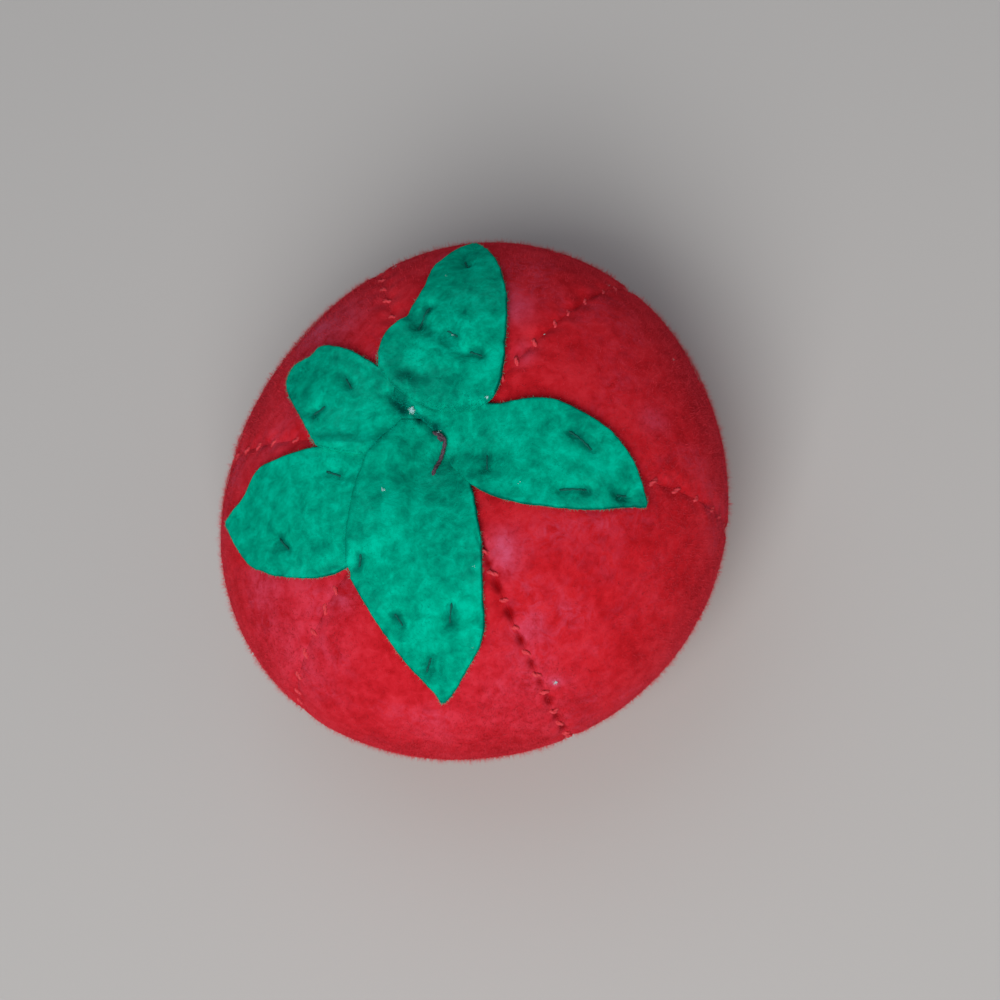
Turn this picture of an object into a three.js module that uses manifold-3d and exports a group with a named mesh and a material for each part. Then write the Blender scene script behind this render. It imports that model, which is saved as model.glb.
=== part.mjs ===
// A hand-sewn tomato pincushion: six red felt gores round a fibrefill core, and a calyx of five
// green felt leaves caught down with thread. Millimetres, +Z up, standing on z = 0.
import * as THREE from 'three';
import * as BufferGeometryUtils from 'three/addons/utils/BufferGeometryUtils.js';
import Module from 'manifold-3d';

// ---- driving dimensions ----
const BODY_RADIUS = 35;      // mean radius of the stuffed body at its widest ring
const BELLY_HEIGHT = 20.6;   // height of the widest ring above the table
const CROWN_HEIGHT = 22.7;   // crown above the widest ring, before the tuft pulls it in
const ROUNDNESS = 0.9;       // exponent of the crown and belly curves, 1 is an ellipse
const TUFT_DIP = 4.2;        // how far the tuft pulls the crown down
const TUFT_DIP_RADIUS = 9;
const BASE_PRESS = 1.06;     // how much of the belly is pressed flat by its own weight
const BASE_DIP = 2.2;        // hollow round the knot under the base
const BASE_DIP_RADIUS = 6;
const AXIS_X = 0.58;         // the seams meet a little off the middle of the uneven plan
const AXIS_Y = -0.05;
const OVAL = [               // hand-made unevenness of the plan: waves, amount, direction
  { waves: 2, amount: 0.032, lean: 39 },
  { waves: 3, amount: 0.018, lean: 58.6 },
];

const GORES = 6;
const FIRST_SEAM = 22.9;     // degrees, counter-clockwise from +X
const FELT = 1.2;            // thickness of the red felt
const LEAF_FELT = 0.9;       // thickness of the green felt
const GAP = 0.3;             // clearance between pieces that touch
const TURN_IN = 3.4;         // seam allowance turned inwards at each gore edge
const SEAM_DEPTH = 1.6;      // depth of the channel where two gores meet
const FILL_DEPTH = 2.2;      // surface of the stuffing below the outside of the felt
const BORE_RADIUS = 1;       // way of the tuft thread through the stuffing

const THREAD_RADIUS = 0.22;
const THREAD_SIDES = 4;
const STITCH_PITCH = 3.5;    // one seam stitch to the next
const THREAD_SINK = 0.9;     // depth of the seam thread under the outline, where it lies in the channel
const STITCH_SWAY = 0.25;    // seam thread swings this far to each side of its seam

// Each leaf is laid out flat: distance from the middle of the crown along the leaf, then its left
// and right edges. level counts the felt layers under its inner end, which fall away to none
// between the two radii of settle.
const LEAVES = [
  { name: 'left', aim: 162.5, level: 0, settle: [0, 1],
    edges: [[6, 6, -1.6], [9, 9.4, -2.4], [13, 12, -3.4], [17, 12.9, -4.4], [21.4, 11.9, -4.8],
      [25.3, 10.3, -4.9], [27.2, 9.1, -4.1], [29.2, 7.7, -1.9], [31.5, 4.6, -1.2],
      [33.2, 1.6, -0.6], [34.1, 0.3, -0.3]],
    stitches: [[[23.5, 6.2], [22.4, 7.8]], [[15.6, -0.4], [14, 0.6]]] },
  { name: 'upper_left', aim: 123.5, level: 0, settle: [0, 1],
    edges: [[4.5, 0.6, -2.5], [8, 2.2, -4.6], [12, 4.4, -6.1], [16, 6.3, -6.8], [20, 4.8, -7.2],
      [24.4, 2.3, -6.8], [25.6, 1.6, -4.9], [27.3, 0.1, -3.6], [27.8, -1.3, -2.7]],
    stitches: [[[18.6, 1.7], [19.4, 3]], [[17.6, -3.2], [16.4, -2.4]]] },
  { name: 'bottom', aim: 240, level: 1, settle: [20.5, 27],
    edges: [[-4.5, -1.6, -6.2], [-1, 1.5, -9], [3, 3.2, -10.9], [7, 4.1, -11.5],
      [12.6, 5.2, -11.8], [16.3, 5.4, -11.6], [19.6, 5.5, -10], [23.4, 5.6, -7.7],
      [26.2, 4.9, -5.9], [29.3, 3.1, -3.5], [32, 1.4, -1.2], [33.3, 0.3, -0.3]],
    stitches: [[[21, 2], [23.2, 1.7]], [[29.2, -1.8], [27.8, -1.2]], [[23.1, -4.6], [21.8, -5.4]],
      [[15.4, -8.4], [14.2, -8]]] },
  { name: 'right', aim: 314.5, level: 2, settle: [8, 16],
    edges: [[-9, 6.8, 5], [-5.5, 7.4, 3.8], [-2, 7.6, 2.2], [1.1, 7.4, -1.3], [5.3, 7.6, -4],
      [9, 9.1, -4.9], [12.4, 9.9, -5], [16, 9.5, -4.5], [20.1, 8.3, -3.5], [22.7, 6.7, -2.4],
      [25.2, 4.2, -1], [27.3, 0.5, -0.1]],
    stitches: [[[16.1, 6.3], [19.4, 4.8]], [[25.4, 0.4], [24.4, 0.1]], [[19.2, -0.9], [16, -1.9]],
      [[6.6, -1.2], [6, 0.6]]] },
  { name: 'top', aim: 58, level: 3, settle: [10, 19.5],
    edges: [[5.2, 0.5, -3.5], [6.2, 3.4, -5.6], [8.2, 7, -6.8], [11.5, 9.7, -7.2],
      [14.3, 9.8, -7], [16.7, 9.2, -6.9], [19.4, 6.8, -6.6], [22.6, 5.4, -6], [27.2, 4.9, -4.4],
      [30.2, 3.2, -2.7], [32.2, 1.4, -1.3], [33.2, 0.3, -0.3]],
    stitches: [[[28.6, 0.4], [27.4, -0.2]], [[17, 4.8], [19.6, 3.6]], [[16, 0.6], [15.2, -0.6]],
      [[12.4, -4], [13, -2.6]]] },
];
const LEAF_COLUMNS = 5;      // strips across a leaf
const STITCH_DIVE = 1.1;     // a leaf thread comes up and goes down over this length
const UNDER_STEP = 4;        // points along a leaf thread where it runs under the felt

// Stations down a gore, as mean radii from the crown to the widest ring and on to the base.
const CROWN_STATIONS = [2.5, 5, 7.5, 11, 15, 20, 25.5, 30.5, 34, BODY_RADIUS];
const BELLY_STATIONS = [34, 30.5, 25.5, 19.5];
const BASE_STATIONS = [BASE_DIP_RADIUS, 2.5];

const FINISH = {
  red_felt: new THREE.MeshStandardMaterial({ color: 0xb81f2c, roughness: 0.95, metalness: 0 }),
  green_felt: new THREE.MeshStandardMaterial({ color: 0x018a6a, roughness: 0.95, metalness: 0 }),
  red_thread: new THREE.MeshStandardMaterial({ color: 0xc43a45, roughness: 0.7, metalness: 0 }),
  green_thread: new THREE.MeshStandardMaterial({ color: 0x1c3b33, roughness: 0.7, metalness: 0 }),
  brown_thread: new THREE.MeshStandardMaterial({ color: 0x5d4a42, roughness: 0.7, metalness: 0 }),
  fibrefill: new THREE.MeshStandardMaterial({ color: 0xf1ede4, roughness: 1, metalness: 0 }),
};

const wasm = await Module();
wasm.setup();

const radians = THREE.MathUtils.degToRad;

// ---- the surface of the stuffed body ----
function planScale(azimuth) {
  return OVAL.reduce(
    (scale, wave) => scale + wave.amount * Math.cos(wave.waves * (azimuth - radians(wave.lean))), 1);
}

function fullness(radius) {
  const outward = Math.min(1, radius / BODY_RADIUS);
  return Math.sqrt(1 - outward * outward) ** ROUNDNESS;
}

function crownZ(radius) {
  const dip = TUFT_DIP * Math.exp(-((radius / TUFT_DIP_RADIUS) ** 2));
  return BELLY_HEIGHT + CROWN_HEIGHT * fullness(radius) - dip;
}

function bellyZ(radius) {
  const pressed = BELLY_HEIGHT * (1 - Math.min(1, BASE_PRESS * fullness(radius)));
  const hollow = Math.max(0, 1 - (radius / BASE_DIP_RADIUS) ** 2);
  return pressed + BASE_DIP * hollow * hollow;
}

// The base is flat out to the radius where the pressed belly first meets the table.
const BASE_RADIUS = BODY_RADIUS * Math.sqrt(1 - BASE_PRESS ** (-2 / ROUNDNESS));

// The outline of the body as points with outward normals, from crown to base.
function meridian() {
  const outline = [
    ...CROWN_STATIONS.map((radius) => new THREE.Vector2(radius, crownZ(radius))),
    ...BELLY_STATIONS.map((radius) => new THREE.Vector2(radius, bellyZ(radius))),
    new THREE.Vector2(BASE_RADIUS, 0),
    ...BASE_STATIONS.map((radius) => new THREE.Vector2(radius, bellyZ(radius))),
  ];
  return outline.map((point, i) => {
    const before = outline[Math.max(0, i - 1)];
    const after = outline[Math.min(outline.length - 1, i + 1)];
    const along = after.clone().sub(before).normalize();
    const flat = point.y === 0;
    const normal = flat ? new THREE.Vector2(0, -1) : new THREE.Vector2(-along.y, along.x);
    return { point, normal };
  });
}

// A point of the body at an azimuth and a depth under the outline.
function bodyPoint(station, azimuth, depth) {
  const radius = station.point.x * planScale(azimuth) - station.normal.x * depth;
  const z = station.point.y - station.normal.y * depth;
  return new THREE.Vector3(radius * Math.cos(azimuth), radius * Math.sin(azimuth), z);
}

// The same at an azimuth that lies a distance beside a seam.
function besideSeam(station, seam, offset, depth) {
  const radius = Math.max(0.5, station.point.x - station.normal.x * depth);
  return bodyPoint(station, seam + offset / radius, depth);
}

// ---- solids from loops of points ----
function signedVolume(positions, index) {
  const corner = [new THREE.Vector3(), new THREE.Vector3(), new THREE.Vector3()];
  let volume = 0;
  for (let i = 0; i < index.length; i += 3) {
    corner.forEach((point, k) => point.fromArray(positions, 3 * index[i + k]));
    volume += corner[0].dot(corner[1].cross(corner[2])) / 6;
  }
  return volume;
}

// Joins equal loops into a skin, closed by two flat ends or, as a ring, on itself.
function loft(loops, endCap) {
  const count = loops[0].length;
  const positions = loops.flat().flatMap((point) => point.toArray());
  const index = [];
  const spans = endCap ? loops.length - 1 : loops.length;
  for (let i = 0; i < spans; i += 1) {
    const near = i * count;
    const far = ((i + 1) % loops.length) * count;
    for (let j = 0; j < count; j += 1) {
      const k = (j + 1) % count;
      index.push(near + j, near + k, far + k, near + j, far + k, far + j);
    }
  }
  if (endCap) {
    const last = (loops.length - 1) * count;
    endCap.forEach(([a, b, c]) => index.push(a, c, b, last + a, last + b, last + c));
  }
  if (signedVolume(positions, index) < 0) index.reverse();
  const geometry = new THREE.BufferGeometry();
  geometry.setAttribute('position', new THREE.Float32BufferAttribute(positions, 3));
  geometry.setIndex(index);
  return geometry;
}

function toSolid(geometry) {
  const merged = geometry.clone();
  ['normal', 'uv'].forEach((name) => merged.deleteAttribute(name));
  const shared = BufferGeometryUtils.mergeVertices(merged, 1e-4);
  return new wasm.Manifold(new wasm.Mesh({
    numProp: 3,
    vertProperties: shared.getAttribute('position').array,
    triVerts: new Uint32Array(shared.getIndex().array),
  }));
}

function toGeometry(solid) {
  const mesh = solid.getMesh();
  const geometry = new THREE.BufferGeometry();
  geometry.setAttribute('position', new THREE.Float32BufferAttribute(mesh.vertProperties, 3));
  geometry.setIndex([...mesh.triVerts]);
  return geometry;
}

// ---- gores ----
// Seam details shrink towards the poles, where the gores narrow to points.
function seamScale(station) {
  const width = (2 * Math.PI * station.point.x) / GORES;
  return THREE.MathUtils.clamp((width - 1) / 12, 0.12, 1);
}

// One half of a gore's section as [distance from the seam plane, depth], outside then inside.
function goreEdge(station) {
  const scale = seamScale(station);
  const width = (2 * Math.PI * station.point.x) / GORES;
  const side = GAP / 2;
  const inner = side + Math.min(FELT, 0.3 * width);
  const hem = FELT + TURN_IN * scale;
  return {
    outside: [[side, hem], [side, SEAM_DEPTH * scale], [side + 0.75 * scale, 0.7 * scale],
      [side + 2.4 * scale, 0.12 * scale]],
    inside: [[inner, hem], [inner, FELT + 1.4 * scale], [inner + 1.85 * scale, FELT + 0.12 * scale]],
  };
}

function acrossGore(station, edge, depth, shares) {
  const width = (2 * Math.PI * station.point.x) / GORES;
  return shares.map((share) => [edge + share * (width - 2 * edge), depth]);
}

function goreSection(station) {
  const width = (2 * Math.PI * station.point.x) / GORES;
  const { outside, inside } = goreEdge(station);
  const mirror = ([distance, depth]) => [width - distance, depth];
  return [
    ...outside,
    ...acrossGore(station, outside.at(-1)[0], 0, [0.25, 0.5, 0.75]),
    ...outside.map(mirror).reverse(),
    ...inside.map(mirror),
    ...acrossGore(station, inside.at(-1)[0], FELT, [0.67, 0.33]),
    ...inside.slice().reverse(),
  ];
}

function goreSolid(seam, outline) {
  const width = (station) => (2 * Math.PI * station.point.x) / GORES;
  const nextSeam = seam + (2 * Math.PI) / GORES;
  const loops = outline.map((station) => goreSection(station).map(([distance, depth]) => {
    const nearFirst = distance < width(station) / 2;
    return nearFirst
      ? besideSeam(station, seam, distance, depth)
      : besideSeam(station, nextSeam, distance - width(station), depth);
  }));
  const flat = goreSection(outline[0]).map(([distance, depth]) => new THREE.Vector2(distance, depth));
  return toSolid(loft(loops, THREE.ShapeUtils.triangulateShape(flat, [])));
}

// ---- stuffing ----
function stuffingLoop(station, seams) {
  const scale = seamScale(station);
  const width = (2 * Math.PI * station.point.x) / GORES;
  const slot = FELT + TURN_IN * scale + 0.5;
  const wall = GAP / 2 + Math.min(FELT, 0.3 * width) + 0.35 * Math.min(1, scale * 2);
  const shoulder = Math.min(wall + 1.6 * scale, 0.45 * width);
  return seams.flatMap((seam) => [
    besideSeam(station, seam, -shoulder, FILL_DEPTH),
    besideSeam(station, seam, -wall, slot),
    besideSeam(station, seam, wall, slot),
    besideSeam(station, seam, shoulder, FILL_DEPTH),
    besideSeam(station, seam, width / 2, FILL_DEPTH),
  ]);
}

function stuffingGeometry(seams, outline) {
  const loops = outline.map((station) => stuffingLoop(station, seams));
  const bore = (loop) => loop.map((point) => {
    const azimuth = Math.atan2(point.y, point.x);
    return new THREE.Vector3(
      BORE_RADIUS * Math.cos(azimuth), BORE_RADIUS * Math.sin(azimuth), point.z);
  });
  return loft([...loops, bore(loops.at(-1)), bore(loops[0])], null);
}

// ---- threads ----
function threadGeometry(points, radius, steps) {
  const section = new THREE.Shape();
  for (let side = 0; side < THREAD_SIDES; side += 1) {
    const turn = (2 * Math.PI * side) / THREAD_SIDES;
    const corner = [radius * Math.cos(turn), radius * Math.sin(turn)];
    if (side === 0) section.moveTo(...corner);
    else section.lineTo(...corner);
  }
  section.closePath();
  const extrudePath = new THREE.CatmullRomCurve3(points, false, 'centripetal');
  return new THREE.ExtrudeGeometry(section, { steps, extrudePath, bevelEnabled: false });
}

// The outline resampled evenly by length, for things that lie on the body.
function stationAt(distance) {
  const step = 0.05;
  let radius = 0;
  let walked = 0;
  while (walked < distance && radius < BODY_RADIUS - step) {
    walked += Math.hypot(step, crownZ(radius + step) - crownZ(radius));
    radius += step;
  }
  const slope = (crownZ(radius + step) - crownZ(Math.abs(radius - step))) / (2 * step);
  const flatSlope = radius < step ? 0 : slope;
  return {
    point: new THREE.Vector2(radius, crownZ(radius)),
    normal: new THREE.Vector2(-flatSlope, 1).normalize(),
  };
}

function seamThreadGeometry(seam, outline) {
  const run = outline.slice(2, -2);
  const middle = new THREE.CatmullRomCurve3(
    run.map((station) => besideSeam(station, seam, 0, THREAD_SINK * seamScale(station))));
  const swings = Math.round((2 * middle.getLength()) / STITCH_PITCH);
  const sideways = new THREE.Vector3(-Math.sin(seam), Math.cos(seam), 0);
  const points = middle.getSpacedPoints(swings).map((point, i) => {
    const sway = STITCH_SWAY * (i % 2 ? 1 : -1);
    return point.addScaledVector(sideways, sway);
  });
  return threadGeometry(points, THREAD_RADIUS, swings);
}

// ---- leaves ----
function leafLift(leaf, distance) {
  const [from, to] = leaf.settle;
  const fall = THREE.MathUtils.clamp((distance - from) / (to - from), 0, 1);
  return GAP + leaf.level * (LEAF_FELT + GAP) * (1 - fall);
}

// A point above the body where a leaf's flat pattern falls when it is laid over the crown.
function onLeaf(leaf, along, across, height) {
  const distance = Math.hypot(along, across);
  const azimuth = radians(leaf.aim) + Math.atan2(across, along);
  return bodyPoint(stationAt(distance), azimuth, -leafLift(leaf, distance) - height);
}

function leafSolid(leaf) {
  const loops = leaf.edges.map(([along, left, right]) => {
    const strip = Array.from({ length: LEAF_COLUMNS + 1 },
      (_, i) => THREE.MathUtils.lerp(left, right, i / LEAF_COLUMNS));
    return [
      ...strip.map((across) => onLeaf(leaf, along, across, LEAF_FELT)),
      ...strip.slice().reverse().map((across) => onLeaf(leaf, along, across, 0)),
    ];
  });
  const last = 2 * LEAF_COLUMNS + 1;
  const endCap = [];
  for (let i = 0; i < LEAF_COLUMNS; i += 1) {
    endCap.push([i, i + 1, last - i], [i + 1, last - i - 1, last - i]);
  }
  return toSolid(loft(loops, endCap));
}

// A leaf's thread lies on the leaf at each stitch and runs under the red felt between stitches.
function leafThreadPoints(leaf) {
  const above = LEAF_FELT + GAP + THREAD_RADIUS;
  const over = (point) => onLeaf(leaf, point.x, point.y, above);
  const under = (point) => {
    const depth = (FELT + FILL_DEPTH) / 2;
    return onLeaf(leaf, point.x, point.y, -leafLift(leaf, point.length()) - depth);
  };
  const points = [];
  let left = null;
  leaf.stitches.forEach(([from, to]) => {
    const a = new THREE.Vector2(...from);
    const b = new THREE.Vector2(...to);
    const dive = b.clone().sub(a).setLength(STITCH_DIVE);
    const start = a.clone().sub(dive);
    if (left) {
      const parts = Math.max(2, Math.round(left.distanceTo(start) / UNDER_STEP));
      for (let i = 1; i < parts; i += 1) points.push(under(left.clone().lerp(start, i / parts)));
    }
    left = b.clone().add(dive);
    points.push(under(start), over(a), over(b), under(left));
  });
  return points;
}

// The tuft thread comes up beside the middle, crosses it and goes down through the body.
function tuftPoints() {
  const right = LEAVES.find((leaf) => leaf.name === 'right');
  const above = LEAF_FELT + GAP + THREAD_RADIUS;
  const start = onLeaf(right, -2.2, 3, above);
  const bend = new THREE.Vector3(0, 0, onLeaf(right, 0, 0, above).z);
  return [start, bend, new THREE.Vector3(0, 0, bend.z - 4), new THREE.Vector3(0, 0, 12),
    new THREE.Vector3(0, 0, BASE_DIP)];
}

// ---- assembly ----
const outline = meridian();
const seams = Array.from({ length: GORES },
  (_, i) => radians(FIRST_SEAM + (360 / GORES) * i));
const threadRoutes = LEAVES.map((leaf) => ({ points: leafThreadPoints(leaf), steps: 30 }));
const tuftRoute = { points: tuftPoints(), steps: 16 };
const clearances = [...threadRoutes, tuftRoute].map(({ points, steps }) => toSolid(
  threadGeometry(points, THREAD_RADIUS + GAP, steps)));

function pierced(solid) {
  return toGeometry(clearances.reduce((rest, way) => rest.subtract(way), solid));
}

const tomato = new THREE.Group();

function add(name, geometry, finish) {
  const mesh = new THREE.Mesh(geometry, FINISH[finish]);
  mesh.name = name;
  mesh.position.set(AXIS_X, AXIS_Y, 0);
  tomato.add(mesh);
}

seams.forEach((seam, i) => {
  add(`gore_${i + 1}`, pierced(goreSolid(seam, outline)), 'red_felt');
  add(`seam_thread_${i + 1}`, seamThreadGeometry(seam, outline), 'red_thread');
});
add('stuffing', pierced(toSolid(stuffingGeometry(seams, outline))), 'fibrefill');
LEAVES.forEach((leaf, i) => {
  add(`leaf_${leaf.name}`, pierced(leafSolid(leaf)), 'green_felt');
  const { points, steps } = threadRoutes[i];
  add(`leaf_thread_${leaf.name}`, threadGeometry(points, THREAD_RADIUS, steps), 'green_thread');
});
add('tuft_thread', threadGeometry(tuftRoute.points, THREAD_RADIUS, tuftRoute.steps),
  'brown_thread');

export default tomato;
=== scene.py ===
# %% [markdown]
# # A hand-sewn tomato pincushion
# The pincushion is a squat ball of red felt: six gores sewn edge to edge by hand and packed with
# fibrefill. Five green leaves, cut freehand from thinner felt, lie over one another on its crown
# and are caught down with a few small stitches. A thread through the middle pulls the crown in.
# The plain working model is loaded first, as a fixed frame. Everything else is made round it.

# %% Load the frame
import math
import bmesh
import bpy
import numpy as np
from mathutils import Matrix, Vector, noise


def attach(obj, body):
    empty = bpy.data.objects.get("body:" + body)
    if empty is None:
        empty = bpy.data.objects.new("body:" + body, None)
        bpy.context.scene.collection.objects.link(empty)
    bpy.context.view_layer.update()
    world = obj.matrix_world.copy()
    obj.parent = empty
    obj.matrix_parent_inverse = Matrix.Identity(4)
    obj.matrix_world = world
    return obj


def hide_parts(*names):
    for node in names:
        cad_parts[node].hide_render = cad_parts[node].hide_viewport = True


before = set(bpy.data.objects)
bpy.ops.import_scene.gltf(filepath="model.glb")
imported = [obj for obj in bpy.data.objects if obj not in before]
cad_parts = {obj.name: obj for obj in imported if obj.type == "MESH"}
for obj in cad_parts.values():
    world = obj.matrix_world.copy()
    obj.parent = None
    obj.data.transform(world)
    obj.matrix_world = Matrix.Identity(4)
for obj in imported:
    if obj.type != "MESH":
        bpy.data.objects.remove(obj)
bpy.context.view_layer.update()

# %% [markdown]
# ## Working in millimetres
# A thing this small is easier to think about in millimetres, so each piece is shaped on the
# bench in millimetres, with the point where the seams meet at zero. The last step of every piece
# turns it to metres and puts it where the frame has it.

# %% Sizes shared by every piece
MM = 0.001
AXIS = Vector((0.58, -0.05, 0.0))    # the seams meet a little off the middle of the plan
BODY_RADIUS = 35.0                   # mean radius at the widest ring
BELLY_HEIGHT = 20.6                  # height of the widest ring
CROWN_HEIGHT = 22.7                  # crown above the widest ring, before the tuft pulls it in
ROUNDNESS = 0.9
TUFT_DIP, TUFT_DIP_RADIUS = 4.2, 9.0
BASE_PRESS = 1.06
BASE_DIP, BASE_DIP_RADIUS = 2.2, 6.0
OVAL = [(2, 0.032, math.radians(39.0)), (3, 0.018, math.radians(58.6))]
GORES = 6
FIRST_SEAM = math.radians(22.9)
GORE_TURN = 2 * math.pi / GORES
RED_FELT = 1.2
GREEN_FELT = 0.95
rng = np.random.default_rng(11)

# %% [markdown]
# ## The view
# The pincushion is seen from above and in front, from about a third of a metre. The camera is
# rolled, as a hand-held one is, so it is turned about its own line of sight after it is aimed.

# %% Camera
VIEW_TILT = math.radians(22.7)       # away from straight down, towards the front
VIEW_ROLL = math.radians(29.5)
VIEW_DISTANCE = 9 * BODY_RADIUS
VIEW_LENS = 83.1
AIM_ASIDE = (3.5, 0.15)              # the ball sits this far left of and below the aim

forward = Vector((0, -math.sin(VIEW_TILT), math.cos(VIEW_TILT)))
level_up = Vector((0, math.cos(VIEW_TILT), math.sin(VIEW_TILT)))
sideways = Vector((1, 0, 0))
picture_right = math.cos(VIEW_ROLL) * sideways - math.sin(VIEW_ROLL) * level_up
picture_up = math.sin(VIEW_ROLL) * sideways + math.cos(VIEW_ROLL) * level_up
aim = AXIS + Vector((0, 0, BELLY_HEIGHT)) + AIM_ASIDE[0] * picture_right + AIM_ASIDE[1] * picture_up
camera = bpy.data.objects.new("camera", bpy.data.cameras.new("camera"))
camera.data.lens = VIEW_LENS
camera.data.clip_start = 0.01
turned = Matrix((picture_right, picture_up, forward)).transposed().to_4x4()
camera.matrix_world = Matrix.Translation((aim + VIEW_DISTANCE * forward) * MM) @ turned
bpy.context.collection.objects.link(camera)
bpy.context.scene.camera = camera
print("camera at", [round(x, 3) for x in camera.location])

# %% [markdown]
# ## The outline of the body
# Cut through the middle, the body is a squashed round with a dip at the crown and a flat base.
# `OUTLINE` holds that curve as points, measured by how far down the felt each one is. Every
# piece that lies on the body asks `body_point` for its place: how far down, which way round, and
# how deep under the outline.

# %% Outline and body_point
def fullness(radius):
    outward = np.clip(radius / BODY_RADIUS, 0, 1)
    return np.sqrt(1 - outward ** 2) ** ROUNDNESS


def crown_height(radius):
    dip = TUFT_DIP * np.exp(-(radius / TUFT_DIP_RADIUS) ** 2)
    return BELLY_HEIGHT + CROWN_HEIGHT * fullness(radius) - dip


def belly_height(radius):
    pressed = BELLY_HEIGHT * (1 - np.minimum(1, BASE_PRESS * fullness(radius)))
    hollow = np.clip(1 - (radius / BASE_DIP_RADIUS) ** 2, 0, None)
    return pressed + BASE_DIP * hollow ** 2


turns = np.linspace(0, math.pi, 1201)
ring = BODY_RADIUS * np.sin(turns)
curve = np.where(turns < math.pi / 2, crown_height(ring), belly_height(ring))
walked = np.concatenate([[0], np.cumsum(np.hypot(np.diff(ring), np.diff(curve)))])
LENGTH = walked[-1]
DOWN = np.linspace(0, LENGTH, 500)
OUTLINE_R = np.interp(DOWN, walked, ring)
OUTLINE_Z = np.interp(DOWN, walked, curve)
slope_r, slope_z = np.gradient(OUTLINE_R, DOWN), np.gradient(OUTLINE_Z, DOWN)
slope_length = np.hypot(slope_r, slope_z)
NORMAL_R, NORMAL_Z = -slope_z / slope_length, slope_r / slope_length


def plan_scale(azimuth):
    return 1 + sum(amount * np.cos(waves * (azimuth - lean)) for waves, amount, lean in OVAL)


def body_point(down, azimuth, depth=0.0):
    """Points on the body in mm, one row each."""
    radius = np.interp(down, DOWN, OUTLINE_R) * plan_scale(azimuth)
    radius = radius - np.interp(down, DOWN, NORMAL_R) * depth
    height = np.interp(down, DOWN, OUTLINE_Z) - np.interp(down, DOWN, NORMAL_Z) * depth
    return np.stack([radius * np.cos(azimuth), radius * np.sin(azimuth), height], axis=-1)


def body_normal(down, azimuth):
    out, up = np.interp(down, DOWN, NORMAL_R), np.interp(down, DOWN, NORMAL_Z)
    return np.stack([out * np.cos(azimuth), out * np.sin(azimuth), up], axis=-1)


print("felt from crown to base:", round(LENGTH, 1), "mm; height", round(OUTLINE_Z.max(), 1), "mm")

# %% [markdown]
# ## Sheets of felt
# Felt starts flat. `flat_sheet` is a flat grid from 0 to 1 each way, and `lay` moves its points
# to wherever a rule says they go, which is how a pattern piece is laid over a form.
# `finish_piece` turns a finished mesh into an object in metres.

# %% Helpers for making pieces
def flat_sheet(columns, rows):
    bm = bmesh.new()
    bmesh.ops.create_grid(bm, x_segments=columns, y_segments=rows, size=0.5)
    bmesh.ops.translate(bm, vec=(0.5, 0.5, 0), verts=bm.verts)
    return bm


def points_of(bm):
    return np.array([v.co for v in bm.verts])


def lay(bm, points):
    for vert, point in zip(bm.verts, points):
        vert.co = point


def mark(bm, name, amounts):
    """Stores a number at each point, which the felt's material reads."""
    layer = bm.verts.layers.float.new(name)
    for vert, amount in zip(bm.verts, amounts):
        vert[layer] = float(amount)


def finish_piece(bm, name, material, stands_for=()):
    bmesh.ops.recalc_face_normals(bm, faces=bm.faces)
    bmesh.ops.translate(bm, vec=AXIS, verts=bm.verts)
    bmesh.ops.scale(bm, vec=(MM, MM, MM), verts=bm.verts)
    mesh = bpy.data.meshes.new(name)
    bm.to_mesh(mesh)
    bm.free()
    mesh.shade_smooth()
    mesh.materials.append(material)
    piece = bpy.data.objects.new(name, mesh)
    bpy.context.collection.objects.link(piece)
    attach(piece, "root")
    if stands_for:
        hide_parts(*stands_for)
    return piece


# %% [markdown]
# ## Felt as a material
# Felt is a mat of short fibres lying every way. Close up it shows three things: fine strands
# that cross at random, soft lighter and darker patches where the mat is thicker or thinner, and
# pale lint that clings in places. One node group makes all three from the piece's own
# coordinates, so the red and the green felt share it with different values. Thin bright strands
# come from the places where a noise passes through its middle value: those places form long
# curving lines.

# %% Node helpers
def add_node(tree, kind, **settings):
    node = tree.nodes.new(kind)
    for name, value in settings.items():
        setattr(node, name, value)
    return node


def math_node(tree, operation, first, second=None, clamp=False):
    node = add_node(tree, "ShaderNodeMath", operation=operation, use_clamp=clamp)
    for socket, value in zip(node.inputs, (first, second)):
        if value is None:
            continue
        if isinstance(value, (int, float)):
            socket.default_value = value
        else:
            tree.links.new(value, socket)
    return node.outputs[0]


def noise_node(tree, vector, scale, detail, roughness, distortion, shift=0.0):
    moved = add_node(tree, "ShaderNodeMapping")
    moved.inputs["Location"].default_value = (shift, 1.7 * shift, -0.6 * shift)
    tree.links.new(vector, moved.inputs["Vector"])
    node = add_node(tree, "ShaderNodeTexNoise")
    node.inputs["Scale"].default_value = scale
    node.inputs["Detail"].default_value = detail
    node.inputs["Roughness"].default_value = roughness
    node.inputs["Distortion"].default_value = distortion
    tree.links.new(moved.outputs[0], node.inputs["Vector"])
    return node.outputs["Fac"]


def ramp(tree, value, low, high):
    node = add_node(tree, "ShaderNodeMapRange", clamp=True)
    node.inputs["From Min"].default_value = low
    node.inputs["From Max"].default_value = high
    tree.links.new(value, node.inputs["Value"])
    return node.outputs["Result"]


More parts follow.
